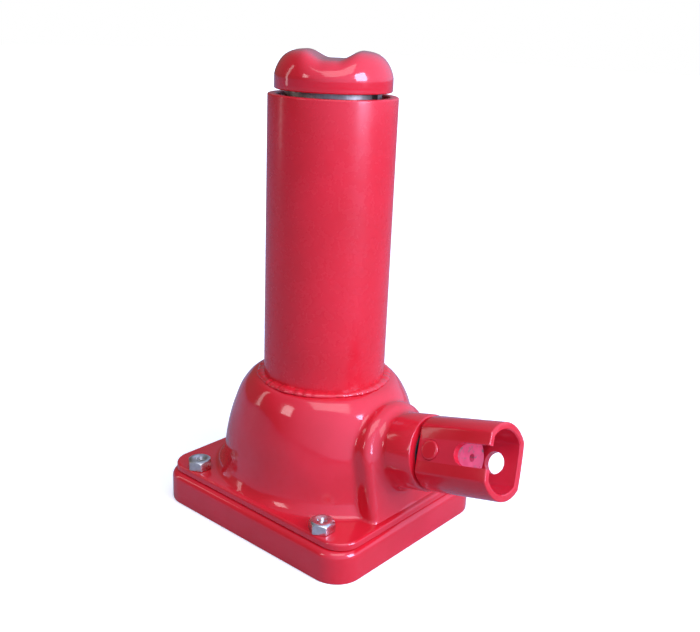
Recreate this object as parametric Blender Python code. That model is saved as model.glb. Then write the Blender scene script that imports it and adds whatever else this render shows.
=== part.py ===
"""Mechanical screw bottle jack, modelled as separate solids.

World frame: origin under the column axis on the ground, +Z up, +X toward the drive socket, metres.
Every length constant below is in millimetres and is turned into metres by MM.
"""
import bmesh
import bpy
import math
from mathutils import Matrix

MM = 0.001

# ---------------------------------------------------------------- driving dimensions (mm)
GAP = 0.3                  # air between neighbouring pieces
FIT = 0.15                 # radial air between a shaft or screw and its hole

BASE_HALF_X = 68.0
BASE_HALF_Y = 60.0
BASE_CORNER = 15.0
BASE_TOP = 17.3
BASE_SHOULDER = 3.7        # rounded top edge of the base plate
BASE_FOOT_BREAK = 0.8
BASE_POCKET_DEPTH = 7.5
BASE_RIM = 8.0
BASE_RIB = 6.0
BASE_HUB_R = 28.0

FLANGE_HALF_X = 66.4
FLANGE_HALF_Y = 56.7
FLANGE_CORNER = 12.5
FLANGE_BOTTOM = BASE_TOP + GAP
FLANGE_TOP = 21.5
FLANGE_EDGE = 1.6

SCREW_X = 46.8
SCREW_Y = 49.8
SCREW_AF = 12.0            # hexagon across flats, M8 small head
SCREW_HEAD = 5.5
SCREW_R = 4.0
SCREW_TIP = 5.5
SCREW_BOSS_R = 9.0
SCREW_SIGNS = ((1, -1), (-1, -1), (-1, 1), (1, 1))
SCREW_TURN = (0.51, 0.42, 0.9, 0.3)    # how far each screw happens to be turned, radians

# outer dome of the gear housing: height, half length along X, half length along Y
DOME = (
    (21.0, 65.0, 55.4),
    (22.6, 62.6, 53.2),
    (25.8, 60.6, 51.3),
    (31.0, 59.2, 50.3),
    (44.0, 57.0, 49.1),
    (54.0, 54.4, 47.7),
    (63.0, 50.9, 45.7),
    (70.6, 46.9, 43.4),
    (75.8, 42.8, 40.8),
    (78.4, 39.2, 38.6),
)
DOME_TOP = 79.4
DOME_TOP_R = 35.6
DOME_SEGMENTS = 36
WALL = 6.5                 # casting wall of the housing
CAVITY_TOP = 66.0
NECK_BORE_R = 25.6         # ram passes through the housing neck
SEAT_Z = 70.0              # ledge that carries the column tube

COLUMN_R = 33.0
COLUMN_WALL = 4.5
COLUMN_TOP = 228.5
COLUMN_EDGE = 0.9
COLUMN_SIDES = 44
WELD_R = 37.2
WELD_TOP = 81.3
WELD_LUMPS = 12
WELD_SIDES = 48

GUIDE_BOTTOM = 200.0
GUIDE_TOP = 226.3
KEY_ANGLE = math.radians(8.0)
KEY_WIDTH = 5.0
KEY_DEPTH = 2.6
KEY_HEIGHT = 18.0

RAM_R = 24.5
RAM_BORE = 18.6
RAM_BOTTOM = 70.6
RAM_TOP = 235.6

NUT_BOTTOM = RAM_BOTTOM + 0.45
NUT_LENGTH = 33.0
NUT_PIN_R = 3.0
NUT_PIN_Z = NUT_BOTTOM + 16.0

SADDLE_BOTTOM = 230.7
SADDLE_R = 29.8
SADDLE_SIDES = 36
SADDLE_TOP = 250.3
SADDLE_GROOVE_Z = 246.0
SADDLE_TURN = math.radians(36.0)   # groove direction, turned from +Y toward -X

LEAD = 8.0
THREAD_MAJOR = 15.0
THREAD_MINOR = 11.6
THREAD_SLACK = 0.6
THREAD_BOTTOM = 60.0
THREAD_TURNS = 20
THREAD_TOP = 213.0
THREAD_SEGMENTS = 12
SPINDLE_SEAT_R = 14.8
SPINDLE_COLLAR_R = 17.4
SPINDLE_TAIL_R = 8.0
SPINDLE_TOP = 221.5

RACE_SEAT_Z = 12.9
RACE_BOTTOM = RACE_SEAT_Z + 0.2
RACE_THICK = 3.6
RACE_OUTER_R = 25.0
BALL_R = 3.0
BALL_PITCH_R = 20.9
BALL_COUNT = 12
GROOVE_R = 3.2
GROOVE_DEPTH = 0.8
BALL_Z = RACE_BOTTOM + RACE_THICK - GROOVE_DEPTH + GROOVE_R
UPPER_RACE_BOTTOM = 2.0 * BALL_Z - RACE_BOTTOM - RACE_THICK

GEAR_BOTTOM = UPPER_RACE_BOTTOM + RACE_THICK + GAP
GEAR_HUB_R = 17.4
GEAR_HUB_TOP = 40.0

# bevel pair: both pitch cones meet where the drive axis crosses the column axis
APEX_Z = 38.34
DRIVE_TILT = math.radians(13.8)    # drive axis rises toward the socket
DRIVE_ROLL = math.radians(-27.4)   # how the flats of the socket stand at rest
PINION_TEETH = 10
GEAR_TEETH = 24
CONE_OUTER = 34.6
CONE_INNER = 24.0
PRESSURE = math.radians(25.0)
ADDENDUM = 0.72
DEDENDUM = 0.98
TOOTH_SLACK = 0.09         # share of the pitch taken off each tooth

SHAFT_R = 11.4
SHAFT_END = 102.3
SHAFT_COLLAR_R = 16.4
SHAFT_COLLAR_START = 33.0
SHAFT_COLLAR_END = 36.0
WASHER_START = 36.2
WASHER_END = 37.9
BORE_FACE = 38.2           # inside face of the housing that the washer runs on
BUSH_R = 14.4
BUSH_BORE = SHAFT_R + FIT
SEAL_START = 75.6

BOSS_R = 19.6
BOSS_FOOT_R = 23.4
BOSS_END = 78.6
ARCH_FACE = 57.6
ARCH_HALF_WIDTH = 26.6
ARCH_RISE = 24.6
ARCH_EDGE = 4.0

SOCKET_START = 80.1
SOCKET_END = 121.4
SOCKET_R = 19.1
SOCKET_FLAT = 15.5
SOCKET_WALL = 3.6
SOCKET_SIDES = 36
PIN_AT = 87.8
PIN_R = 5.0
PIN_PROUD = 1.1
LOCK_HOLE_AT = 107.7
LOCK_HOLE_R = 5.6

ROUND = 32                 # sides of an ordinary turned piece


# ---------------------------------------------------------------- scene and mesh helpers
def clear_scene():
    for ob in list(bpy.data.objects):
        bpy.data.objects.remove(ob, do_unlink=True)


def material(name, colour, roughness, metallic):
    mat = bpy.data.materials.new(name)
    mat.use_nodes = True
    shader = mat.node_tree.nodes["Principled BSDF"]
    shader.inputs["Base Color"].default_value = (*colour, 1.0)
    shader.inputs["Roughness"].default_value = roughness
    shader.inputs["Metallic"].default_value = metallic
    mat.diffuse_color = (*colour, 1.0)
    return mat


def solid(name, points, faces, mat, matrix=None):
    """Mesh object from millimetre points; the matrix places it in the world."""
    mesh = bpy.data.meshes.new(name)
    mesh.from_pydata([[c * MM for c in p] for p in points], [], faces)
    shell = bmesh.new()
    shell.from_mesh(mesh)
    bmesh.ops.recalc_face_normals(shell, faces=shell.faces)
    shell.to_mesh(mesh)
    shell.free()
    ob = bpy.data.objects.new(name, mesh)
    bpy.context.scene.collection.objects.link(ob)
    if matrix is not None:
        ob.matrix_world = matrix
    if mat is not None:
        mesh.materials.append(mat)
    return ob


def finish(ob, sharp_degrees=35.0):
    """Smooth shading with the real edges kept sharp."""
    ob.data.shade_smooth()
    ob.data.set_sharp_from_angle(angle=math.radians(sharp_degrees))
    return ob


def combine(target, tool, operation):
    """Boolean whose result is written back into the target; the tool is used up."""
    mod = target.modifiers.new("bool", "BOOLEAN")
    mod.operation = operation
    mod.solver = "EXACT"
    mod.object = tool
    bpy.context.view_layer.update()
    graph = bpy.context.evaluated_depsgraph_get()
    mesh = bpy.data.meshes.new_from_object(target.evaluated_get(graph))
    target.modifiers.remove(mod)
    mesh.name = target.name
    target.data = mesh
    bpy.data.objects.remove(tool, do_unlink=True)
    return target


def cut(target, tool):
    return combine(target, tool, "DIFFERENCE")


def add(target, tool):
    return combine(target, tool, "UNION")


def grid(name, rows, mat=None, matrix=None, cap=True, loop=False):
    """Skin closed rings of points; ends capped, or the last ring joined to the first."""
    n = len(rows[0])
    points = [p for row in rows for p in row]
    faces = []
    count = len(rows) if loop else len(rows) - 1
    for i in range(count):
        a = i * n
        b = ((i + 1) % len(rows)) * n
        for j in range(n):
            k = (j + 1) % n
            faces.append((a + j, a + k, b + k, b + j))
    if cap and not loop:
        faces.append(tuple(reversed(range(n))))
        faces.append(tuple(range((len(rows) - 1) * n, len(rows) * n)))
    return solid(name, points, faces, mat, matrix)


def ring(radius, height, segments=ROUND, axis="Z", phase=0.0):
    out = []
    for i in range(segments):
        t = phase + math.tau * i / segments
        c = radius * math.cos(t)
        s = radius * math.sin(t)
        out.append((c, s, height) if axis == "Z" else (height, c, s))
    return out


def turned(name, profile, mat=None, matrix=None, segments=ROUND, axis="Z"):
    """Turned ring: the closed profile lists (radius, height) seen with the bore on the left."""
    return grid(name, [ring(r, h, segments, axis) for r, h in profile], mat, matrix, loop=True)


def shaft(name, profile, mat=None, matrix=None, segments=ROUND, axis="Z"):
    """Turned bar: (radius, height) from its low end to its high end, both ends capped."""
    return grid(name, [ring(r, h, segments, axis) for r, h in profile], mat, matrix)


def tube_profile(inner, outer, low, high, edge=0.4):
    """Ring section from bore to outside and back, with broken edges."""
    if not edge:
        return [(inner, low), (outer, low), (outer, high), (inner, high)]
    return [
        (inner, low + edge), (inner + edge, low), (outer - edge, low), (outer, low + edge),
        (outer, high - edge), (outer - edge, high), (inner + edge, high), (inner, high - edge),
    ]


def rounded_rectangle(half_x, half_y, corner, height, steps=5):
    out = []
    for k, (sx, sy) in enumerate(((1, 1), (-1, 1), (-1, -1), (1, -1))):
        for i in range(steps + 1):
            t = math.pi / 2.0 * (k + i / steps)
            out.append((
                sx * (half_x - corner) + corner * math.cos(t),
                sy * (half_y - corner) + corner * math.sin(t),
                height,
            ))
    return out


def block(name, low, high, matrix=None):
    (x0, y0, z0), (x1, y1, z1) = low, high
    rows = [[(x0, y0, z), (x1, y0, z), (x1, y1, z), (x0, y1, z)] for z in (z0, z1)]
    return grid(name, rows, matrix=matrix)


def drive_matrix(roll=0.0):
    """Drive frame: local X runs out along the inclined drive axis from the cone apex."""
    place = Matrix.Translation((0.0, 0.0, APEX_Z * MM))
    tilt = Matrix.Rotation(-DRIVE_TILT, 4, "Y")
    return place @ tilt @ Matrix.Rotation(roll, 4, "X")


# ---------------------------------------------------------------- base plate and screws
def make_base_plate(mat):
    rows = [
        rounded_rectangle(
            BASE_HALF_X - BASE_FOOT_BREAK, BASE_HALF_Y - BASE_FOOT_BREAK,
            BASE_CORNER - BASE_FOOT_BREAK, 0.0),
        rounded_rectangle(BASE_HALF_X, BASE_HALF_Y, BASE_CORNER, BASE_FOOT_BREAK),
    ]
    for i in range(5):
        t = math.pi / 2.0 * i / 4
        inset = BASE_SHOULDER * (1.0 - math.cos(t))
        rise = BASE_TOP - BASE_SHOULDER * (1.0 - math.sin(t))
        rows.append(rounded_rectangle(
            BASE_HALF_X - inset, BASE_HALF_Y - inset, BASE_CORNER - inset, rise))
    plate = grid("base_plate", rows, mat)

    pocket = grid("pocket", [
        rounded_rectangle(BASE_HALF_X - BASE_RIM, BASE_HALF_Y - BASE_RIM, 8.0, z)
        for z in (-1.0, BASE_POCKET_DEPTH)])
    cut(pocket, shaft("hub", [(BASE_HUB_R, -2.0), (BASE_HUB_R, 9.0)]))
    cut(pocket, block("rib_x", (-70.0, -BASE_RIB / 2, -2.0), (70.0, BASE_RIB / 2, 9.0)))
    cut(pocket, block("rib_y", (-BASE_RIB / 2, -70.0, -2.0), (BASE_RIB / 2, 70.0, 9.0)))
    for sx, sy in SCREW_SIGNS:
        at = Matrix.Translation((sx * SCREW_X * MM, sy * SCREW_Y * MM, 0.0))
        cut(pocket, shaft("pad", [(SCREW_BOSS_R, -2.0), (SCREW_BOSS_R, 9.0)], matrix=at, segments=20))
    cut(plate, pocket)

    cut(plate, shaft("race_seat", [(RACE_OUTER_R + 0.2, RACE_SEAT_Z), (RACE_OUTER_R + 0.2, 20.0)]))
    cut(plate, shaft("bush_seat", [(12.2, 4.0), (12.2, 20.0)]))
    for sx, sy in SCREW_SIGNS:
        at = Matrix.Translation((sx * SCREW_X * MM, sy * SCREW_Y * MM, 0.0))
        hole = [(SCREW_R + FIT, -1.0), (SCREW_R + FIT, 20.0)]
        cut(plate, shaft("hole", hole, matrix=at, segments=16))
    return finish(plate)


def make_base_screws(mat):
    """Hexagon head with a rounded-off top and a cross recess, plain shank below."""
    half = SCREW_AF / 2.0
    corner = half / math.cos(math.pi / 6.0)
    seat = FLANGE_TOP + GAP
    top = seat + SCREW_HEAD
    out = []
    for n, (sx, sy) in enumerate(SCREW_SIGNS):
        at = Matrix.Translation((sx * SCREW_X * MM, sy * SCREW_Y * MM, 0.0))
        at = at @ Matrix.Rotation(SCREW_TURN[n], 4, "Z")
        head = grid("base_screw_%d" % (n + 1), [
            ring(SCREW_R - 0.8, SCREW_TIP, 16),
            ring(SCREW_R, SCREW_TIP + 0.8, 16),
            ring(SCREW_R, seat, 16),
        ], mat, at)
        hexagon = grid("hexagon", [ring(corner, seat, 6), ring(corner, top, 6)], matrix=at)
        dome = shaft("dome", [
            (corner + 0.2, seat - 1.0), (corner + 0.2, top - 1.1), (half * 0.97, top - 0.25),
            (half * 0.82, top),
        ], matrix=at, segments=24)
        combine(hexagon, dome, "INTERSECT")
        dish = [(half * 0.3, top - 0.45), (half * 0.62, top + 0.3)]
        cut(hexagon, shaft("dish", dish, matrix=at, segments=16))
        for turn in (0.0, math.pi / 2.0):
            arm = at @ Matrix.Rotation(turn, 4, "Z")
            cut(hexagon, grid("arm", [
                [(-1.1, -0.35, top - 2.6), (1.1, -0.35, top - 2.6),
                 (1.1, 0.35, top - 2.6), (-1.1, 0.35, top - 2.6)],
                [(-2.6, -0.75, top + 0.4), (2.6, -0.75, top + 0.4),
                 (2.6, 0.75, top + 0.4), (-2.6, 0.75, top + 0.4)],
            ], matrix=arm))
        add(head, hexagon)
        out.append(finish(head))
    return out


# ---------------------------------------------------------------- gear housing
def ellipse(half_x, half_y, height):
    out = []
    for i in range(DOME_SEGMENTS):
        t = math.tau * i / DOME_SEGMENTS
        out.append((half_x * math.cos(t), half_y * math.sin(t), height))
    return out


def dome_rows(inset, low, high):
    """Dome sections between two heights, each drawn in by the wall thickness."""
    rows = []
    for z, a, b in DOME:
        if low < z < high:
            rows.append((z, a - inset, b - inset))
    for z_edge in (low, high):
        for (z0, a0, b0), (z1, a1, b1) in zip(DOME, DOME[1:]):
            if z0 <= z_edge <= z1:
                f = (z_edge - z0) / (z1 - z0)
                rows.append((z_edge, a0 + f * (a1 - a0) - inset, b0 + f * (b1 - b0) - inset))
                break
    rows.sort()
    return [ellipse(a, b, z) for z, a, b in rows]


def arch_outline(half_width, rise, along, foot):
    """Arch seen along the drive axis: half ellipse on top, legs that spread toward the flange."""
    out = []
    steps = 16
    for i in range(steps + 1):
        t = math.pi * i / steps
        out.append((along, half_width * math.cos(t), rise * math.sin(t)))
    spread = 2.6
    out.append((along, -half_width - spread * 0.25, -foot * 0.4))
    out.append((along, -half_width - spread, -foot))
    out.append((along, half_width + spread, -foot))
    out.append((along, half_width + spread * 0.25, -foot * 0.4))
    return out


def make_gear_housing(mat):
    flange_rows = [rounded_rectangle(FLANGE_HALF_X, FLANGE_HALF_Y, FLANGE_CORNER, FLANGE_BOTTOM)]
    for i in range(4):
        t = math.pi / 2.0 * i / 3
        inset = FLANGE_EDGE * (1.0 - math.cos(t))
        flange_rows.append(rounded_rectangle(
            FLANGE_HALF_X - inset, FLANGE_HALF_Y - inset, FLANGE_CORNER - inset,
            FLANGE_TOP - FLANGE_EDGE * (1.0 - math.sin(t))))
    housing = grid("gear_housing", flange_rows, mat)

    rows = [ellipse(a, b, z) for z, a, b in DOME]
    rows.append(ellipse(DOME_TOP_R, DOME_TOP_R, DOME_TOP))
    add(housing, grid("dome", rows))

    frame = drive_matrix()
    foot = 40.0
    arch_rows = [arch_outline(ARCH_HALF_WIDTH, ARCH_RISE, 12.0, foot)]
    for i in range(5):
        t = math.pi / 2.0 * i / 4
        inset = ARCH_EDGE * (1.0 - math.cos(t))
        arch_rows.append(arch_outline(
            ARCH_HALF_WIDTH - inset, ARCH_RISE - inset,
            ARCH_FACE - ARCH_EDGE * (1.0 - math.sin(t)), foot))
    arch = grid("arch", arch_rows, matrix=frame)
    cut(arch, block("below", (-80.0, -60.0, -40.0), (120.0, 60.0, FLANGE_BOTTOM + 1.0)))
    add(housing, arch)

    boss = shaft("boss", [
        (BOSS_FOOT_R, ARCH_FACE - 3.0), (BOSS_FOOT_R, ARCH_FACE - 0.4),
        (BOSS_FOOT_R - 1.8, ARCH_FACE + 0.5), (BOSS_R + 0.7, ARCH_FACE + 2.0),
        (BOSS_R, ARCH_FACE + 4.2), (BOSS_R, BOSS_END - 0.8), (BOSS_R - 0.8, BOSS_END),
    ], matrix=frame, segments=36, axis="X")
    add(housing, boss)

    cavity = grid("cavity", [ellipse(49.0, 43.4, 10.0)] + dome_rows(WALL + 1.0, 30.0, CAVITY_TOP))
    cut(housing, cavity)
    cut(housing, shaft("neck", [(NECK_BORE_R, 50.0), (NECK_BORE_R, 90.0)]))
    cut(housing, shaft("seat", [(COLUMN_R + 0.2, SEAT_Z), (COLUMN_R + 0.2, 90.0)], segments=64))
    cut(housing, shaft("pinion_room", [(18.4, 4.0), (18.4, BORE_FACE)], matrix=frame, axis="X"))
    cut(housing, shaft("bore", [(BUSH_R + 0.2, 20.0), (BUSH_R + 0.2, 90.0)], matrix=frame, axis="X"))
    for sx, sy in SCREW_SIGNS:
        at = Matrix.Translation((sx * SCREW_X * MM, sy * SCREW_Y * MM, 0.0))
        hole = [(SCREW_R + 0.4, 10.0), (SCREW_R + 0.4, 30.0)]
        cut(housing, shaft("hole", hole, matrix=at, segments=16))
        relief = [(8.6, FLANGE_TOP), (8.6, FLANGE_TOP + 9.0)]
        cut(housing, shaft("relief", relief, matrix=at, segments=24))
    return finish(housing, 30.0)


# ---------------------------------------------------------------- column
def make_column(mat):
    inner = COLUMN_R - COLUMN_WALL
    profile = [
        (inner, SEAT_Z + GAP), (COLUMN_R, SEAT_Z + GAP), (COLUMN_R, COLUMN_TOP - COLUMN_EDGE),
        (COLUMN_R - COLUMN_EDGE * 0.3, COLUMN_TOP - COLUMN_EDGE * 0.3),
        (COLUMN_R - COLUMN_EDGE, COLUMN_TOP), (inner + 0.5, COLUMN_TOP), (inner, COLUMN_TOP - 0.5),
    ]
    return finish(turned("column_tube", profile, mat, segments=COLUMN_SIDES))


def make_weld_bead(mat):
    """Hand-laid fillet between housing and column, swelling a little from lump to lump."""
    rows = []
    for i in range(WELD_SIDES):
        t = math.tau * i / WELD_SIDES
        swell = 0.35 * math.sin(WELD_LUMPS * t) + 0.3 * math.sin(3.0 * t + 0.6)
        inner = COLUMN_R + 0.12
        outer = DOME_TOP_R + 0.9 + swell
        low = DOME_TOP + 0.12
        top = WELD_TOP + 0.5 * swell
        section = (
            (inner, low), (outer - 0.3, low), (outer, low + 0.35),
            (outer - 0.9, low + 1.15), (inner + 1.1, top - 0.35), (inner, top),
        )
        rows.append([(r * math.cos(t), r * math.sin(t), z) for r, z in section])
    return finish(grid("weld_bead", rows, mat, loop=True), 50.0)


def key_block(name, width, inner, outer, low, high, mat=None):
    turn = Matrix.Rotation(KEY_ANGLE, 4, "Z")
    rows = [
        [(inner, -width / 2, z), (outer, -width / 2, z), (outer, width / 2, z), (inner, width / 2, z)]
        for z in (low, high)]
    return grid(name, rows, mat, turn)


def make_guide(mat, key_mat):
    """Bush pressed in the mouth of the column, with the key that stops the ram from turning."""
    outer = COLUMN_R - COLUMN_WALL - FIT
    bush = turned("guide_bush", tube_profile(RAM_R + FIT, outer, GUIDE_BOTTOM, GUIDE_TOP), mat)
    low = GUIDE_TOP - KEY_HEIGHT - 2.0
    cut(bush, key_block("slot", KEY_WIDTH + 0.3, RAM_R - 1.0, RAM_R + 2.9, low - GAP, GUIDE_TOP - 2.0 + GAP))
    key = key_block(
        "guide_key", KEY_WIDTH, RAM_R - KEY_DEPTH + 0.4, RAM_R + 2.6, low, GUIDE_TOP - 2.0, key_mat)
    return finish(bush), finish(key)


# ---------------------------------------------------------------- ram, nut and saddle
def make_ram_tube(mat):
    ram = turned("ram_tube", tube_profile(RAM_BORE, RAM_R, RAM_BOTTOM, RAM_TOP, 0.6), mat)
    cut(ram, key_block("keyway", KEY_WIDTH + 0.5, RAM_R - KEY_DEPTH, RAM_R + 2.0, 60.0, 250.0))
    for side in (0.0, math.pi):
        at = Matrix.Rotation(math.pi / 2.0 + side, 4, "Z")
        hole = [(NUT_PIN_R + FIT, 10.0), (NUT_PIN_R + FIT, 30.0)]
        at = at @ Matrix.Translation((0.0, 0.0, NUT_PIN_Z * MM))
        cut(ram, shaft("pin_hole", hole, matrix=at, segments=20, axis="X"))
    return finish(ram)


def helix_bar(name, minor, major, spare, low, turns, mat=None):
    """Threaded bar with a trapezoidal ridge; spare widens (tap) or thins (screw) the ridge."""
    slope = (major - minor) * math.tan(math.radians(15.0))
    half = LEAD * 0.29 + spare / 2.0
    profile = (
        (minor, LEAD / 2.0 - half - slope / 2.0),
        (major, LEAD / 2.0 - half + slope / 2.0),
        (major, LEAD / 2.0 + half - slope / 2.0),
        (minor, LEAD / 2.0 + half + slope / 2.0),
    )
    per_turn = len(profile)
    levels = per_turn * turns
    points = []
    for k in range(levels + 1):
        r, z = profile[k % per_turn]
        z += LEAD * (k // per_turn)
        for i in range(THREAD_SEGMENTS):
            t = math.tau * i / THREAD_SEGMENTS
            rise = low + z + LEAD * i / THREAD_SEGMENTS
            points.append((r * math.cos(t), r * math.sin(t), rise))

    def index(k, i):
        if i == THREAD_SEGMENTS:
            return (k + per_turn) * THREAD_SEGMENTS
        return k * THREAD_SEGMENTS + i

    last = levels - per_turn
    faces = []
    for k in range(last):
        for i in range(THREAD_SEGMENTS):
            low_near, low_far = index(k, i), index(k, i + 1)
            top_near, top_far = index(k + 1, i), index(k + 1, i + 1)
            faces.append((low_near, low_far, top_far))
            faces.append((low_near, top_far, top_near))
    for level, height in ((0, low), (last, low + LEAD * turns)):
        loop = [index(level, i) for i in range(THREAD_SEGMENTS)]
        loop += [index(level + k, 0) for k in range(per_turn, 0, -1)]
        hub = len(points)
        points.append((0.0, 0.0, height))
        for a, b in zip(loop, loop[1:] + loop[:1]):
            faces.append((a, b, hub))
    used = sorted({v for face in faces for v in face})
    place = {v: n for n, v in enumerate(used)}
    return solid(name, [points[v] for v in used], [tuple(place[v] for v in f) for f in faces], mat)


def make_lift_nut(mat):
    top = NUT_BOTTOM + NUT_LENGTH
    outer = RAM_BORE - FIT
    nut = shaft("lift_nut", [
        (outer - 0.6, NUT_BOTTOM), (outer, NUT_BOTTOM + 0.6), (outer, top - 0.6), (outer - 0.6, top),
    ], mat)
    for side in (0.0, math.pi):
        at = Matrix.Rotation(math.pi / 2.0 + side, 4, "Z") @ Matrix.Translation((0.0, 0.0, NUT_PIN_Z * MM))
        hole = [(NUT_PIN_R + FIT, THREAD_MAJOR + 1.4), (NUT_PIN_R + FIT, 30.0)]
        cut(nut, shaft("pin_hole", hole, matrix=at, segments=20, axis="X"))
    turns = 8
    low = THREAD_BOTTOM + LEAD * math.floor((NUT_BOTTOM - THREAD_BOTTOM) / LEAD - 1)
    tap = helix_bar("tap", THREAD_MINOR + THREAD_SLACK, THREAD_MAJOR + THREAD_SLACK, THREAD_SLACK, low, turns)
    cut(nut, tap)
    return finish(nut)


def make_nut_pins(mat):
    out = []
    for n, side in enumerate((0.0, math.pi)):
        at = Matrix.Rotation(math.pi / 2.0 + side, 4, "Z") @ Matrix.Translation((0.0, 0.0, NUT_PIN_Z * MM))
        pin = shaft("nut_pin_%d" % (n + 1), [
            (NUT_PIN_R - 0.3, THREAD_MAJOR + 1.6), (NUT_PIN_R, THREAD_MAJOR + 1.9),
            (NUT_PIN_R, RAM_R - 0.9), (NUT_PIN_R - 0.3, RAM_R - 0.6),
        ], mat, at, 20, "X")
        out.append(finish(pin))
    return out


def saddle_height(x, y):
    """Top of the saddle: a wide shallow groove between two humps, falling off to the rim."""
    across = abs(x * math.cos(SADDLE_TURN) + y * math.sin(SADDLE_TURN))
    rise = min(1.0, max(0.0, (across - 3.2) / 11.5))
    crest = SADDLE_GROOVE_Z + (SADDLE_TOP - SADDLE_GROOVE_Z) * 0.5 * (1.0 - math.cos(math.pi * rise))
    reach = min(1.0, math.hypot(x, y) / SADDLE_R)
    shoulder = SADDLE_BOTTOM + 6.8
    return shoulder + (crest - shoulder) * (1.0 - reach ** 5) ** 0.83


def make_saddle(mat):
    rows = [
        ring(SADDLE_R - 0.7, SADDLE_BOTTOM, SADDLE_SIDES),
        ring(SADDLE_R, SADDLE_BOTTOM + 0.7, SADDLE_SIDES),
    ]
    for share in (1.0, 0.98, 0.93, 0.84, 0.72, 0.56, 0.38, 0.22, 0.105):
        radius = SADDLE_R * share
        row = []
        for i in range(SADDLE_SIDES):
            t = math.tau * i / SADDLE_SIDES
            x = radius * math.cos(t)
            y = radius * math.sin(t)
            row.append((x, y, saddle_height(x, y)))
        rows.append(row)
    saddle = grid("saddle", rows, mat)
    cut(saddle, shaft("socket", [(RAM_R + 0.2, 220.0), (RAM_R + 0.2, RAM_TOP + GAP)]))
    add(saddle, shaft("spigot", [
        (RAM_BORE - 1.0, 225.0), (RAM_BORE - FIT, 225.8), (RAM_BORE - FIT, RAM_TOP + 3.0)]))
    return finish(saddle, 40.0)


# ---------------------------------------------------------------- spindle, bevel pair, bearing
def make_spindle(mat):
    bar = helix_bar(
        "spindle", THREAD_MINOR, THREAD_MAJOR, 0.0 - THREAD_SLACK, THREAD_BOTTOM, THREAD_TURNS, mat)
    bar = combine(bar, block("trim", (-30.0, -30.0, 44.0), (30.0, 30.0, THREAD_TOP)), "INTERSECT")
    add(bar, shaft("shank", [
        (SPINDLE_TAIL_R - 0.6, 4.4), (SPINDLE_TAIL_R, 5.0), (SPINDLE_TAIL_R, RACE_SEAT_Z + 2.2),
        (SPINDLE_SEAT_R, RACE_SEAT_Z + 3.0), (SPINDLE_SEAT_R, GEAR_HUB_TOP + GAP),
        (SPINDLE_COLLAR_R, GEAR_HUB_TOP + GAP), (SPINDLE_COLLAR_R, 45.0),
        (SPINDLE_COLLAR_R - 1.0, 46.0), (THREAD_MINOR - 0.7, 47.5), (THREAD_MINOR - 0.7, THREAD_BOTTOM + 5.0),
    ], segments=24))
    add(bar, shaft("top", [
        (THREAD_MINOR - 0.5, THREAD_TOP - 3.0), (THREAD_MINOR - 0.5, THREAD_TOP + 0.5),
        (8.0, THREAD_TOP + 0.5),
        (8.0, 218.0), (7.2, 218.0), (7.2, 219.6), (8.0, 219.6), (8.0, SPINDLE_TOP - 0.8), (7.2, SPINDLE_TOP),
    ], segments=24))
    cut(bar, block("keyway", (-30.0, -3.1, 27.0), (-SPINDLE_SEAT_R + 2.6, 3.1, GEAR_HUB_TOP + GAP)))
    return finish(bar)


def make_spindle_stop(mat, clip_mat):
    """Washer and spring clip on the top journal: the nut stops against them."""
    washer = turned("stop_washer", tube_profile(8.2, 17.2, THREAD_TOP + 0.8, THREAD_TOP + 4.7, 0.0), mat)
    clip = turned("stop_clip", tube_profile(7.4, 10.6, 218.2, 219.4, 0.0), clip_mat)
    cut(clip, block("gap", (2.0, -1.6, 215.0), (20.0, 1.6, 222.0)))
    return finish(washer), finish(clip)


def pitch_cones():
    """Half angles of the pinion and gear pitch cones; the gear sits below the apex."""
    between = math.pi / 2.0 + DRIVE_TILT
    ratio = GEAR_TEETH / PINION_TEETH
    pinion = math.atan(math.sin(between) / (ratio + math.cos(between)))
    return pinion, between - pinion


def tooth_columns(teeth, cone, flank, first_angle):
    """(angle, height in modules) around one bevel wheel, involute flanks on its back cone."""
    virtual = teeth / math.cos(cone)
    pitch_r = virtual / 2.0
    base_r = pitch_r * math.cos(PRESSURE)
    roll = math.tan(PRESSURE) - PRESSURE
    half = math.pi / (2.0 * virtual) * (1.0 - TOOTH_SLACK)
    rising = []
    for height in flank:
        radius = pitch_r + height
        lean = math.acos(min(1.0, base_r / radius))
        rising.append((-(half + roll - (math.tan(lean) - lean)) / math.cos(cone), height))
    tooth = rising + [(-a, h) for a, h in reversed(rising)]
    out = []
    for n in range(teeth):
        middle = first_angle + math.tau * n / teeth
        out += [(middle + a, h) for a, h in tooth]
    return out


def cone_point(distance, cone, height, module_outer):
    """Radius and axial distance from the apex of a tooth point, shrinking toward the apex."""
    lift = height * module_outer * distance / CONE_OUTER
    return (
        distance * math.sin(cone) + lift * math.cos(cone),
        distance * math.cos(cone) - lift * math.sin(cone),
    )


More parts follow.
